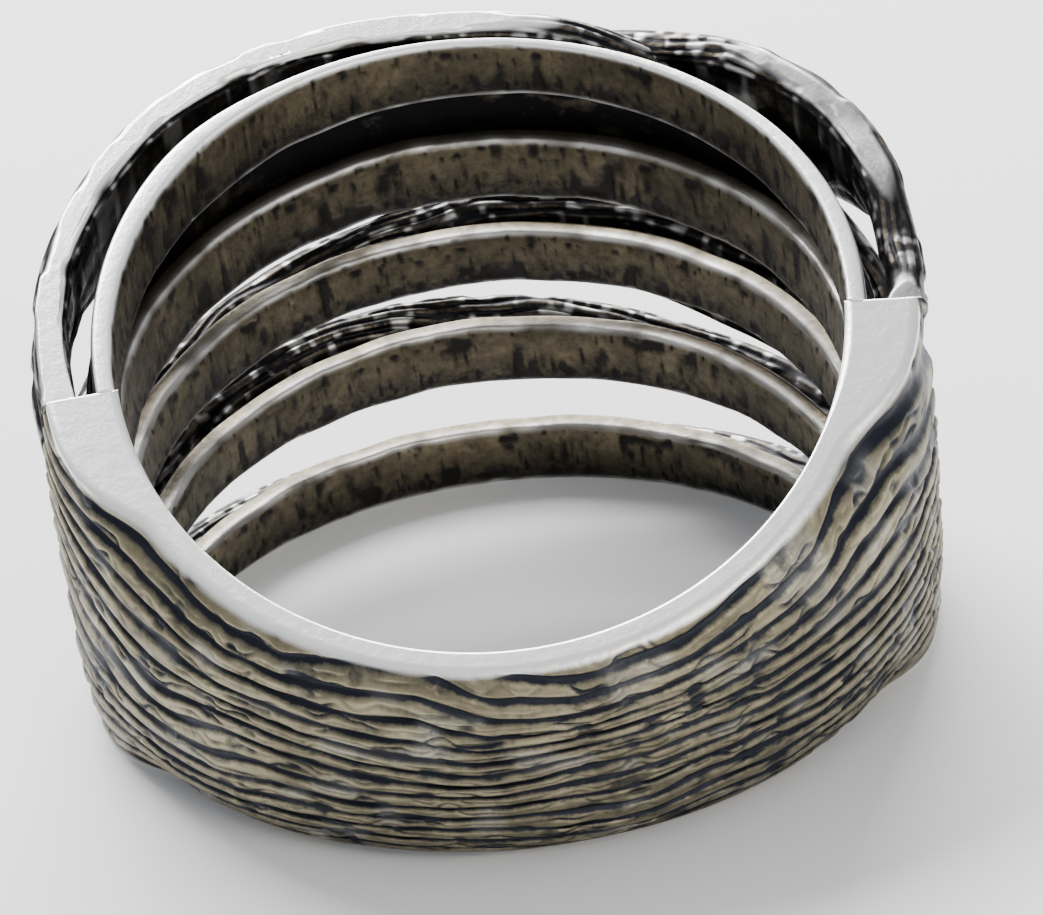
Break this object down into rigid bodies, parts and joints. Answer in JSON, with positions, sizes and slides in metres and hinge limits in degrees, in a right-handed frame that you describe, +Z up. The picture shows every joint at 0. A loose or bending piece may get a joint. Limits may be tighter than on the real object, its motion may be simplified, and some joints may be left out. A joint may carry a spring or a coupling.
{
  "type": "openwork finger ring",
  "caption": "Wide oxidised silver finger ring: a bark-textured palm band that opens into slim inner rails with entwined branch-like strands bowed across the front.",
  "frame": {"origin": "centre of the bounding box on the plane the ring rests on", "axes": "+Z up from the lower rim, +Y from the palm side to the tall front, +X to the right seen from the palm side"},
  "size_m": [0.0225, 0.0232, 0.0154],
  "materials": {
    "shank_silver": "oxidised",
    "rail_silver": "oxidised",
    "strand_silver": "oxidised"
  },
  "bodies": {
    "root": {"shank": "shank_silver", "inner_rail_1": "rail_silver", "inner_rail_2": "rail_silver", "inner_rail_3": "rail_silver", "inner_rail_4": "rail_silver", "inner_rail_5": "rail_silver", "crest_strand": "strand_silver", "branch_strand": "strand_silver", "vine_strand": "strand_silver", "twig_strand": "strand_silver", "bough_strand": "strand_silver", "root_strand": "strand_silver", "slot_web": "strand_silver"}
  },
  "joints": []
}
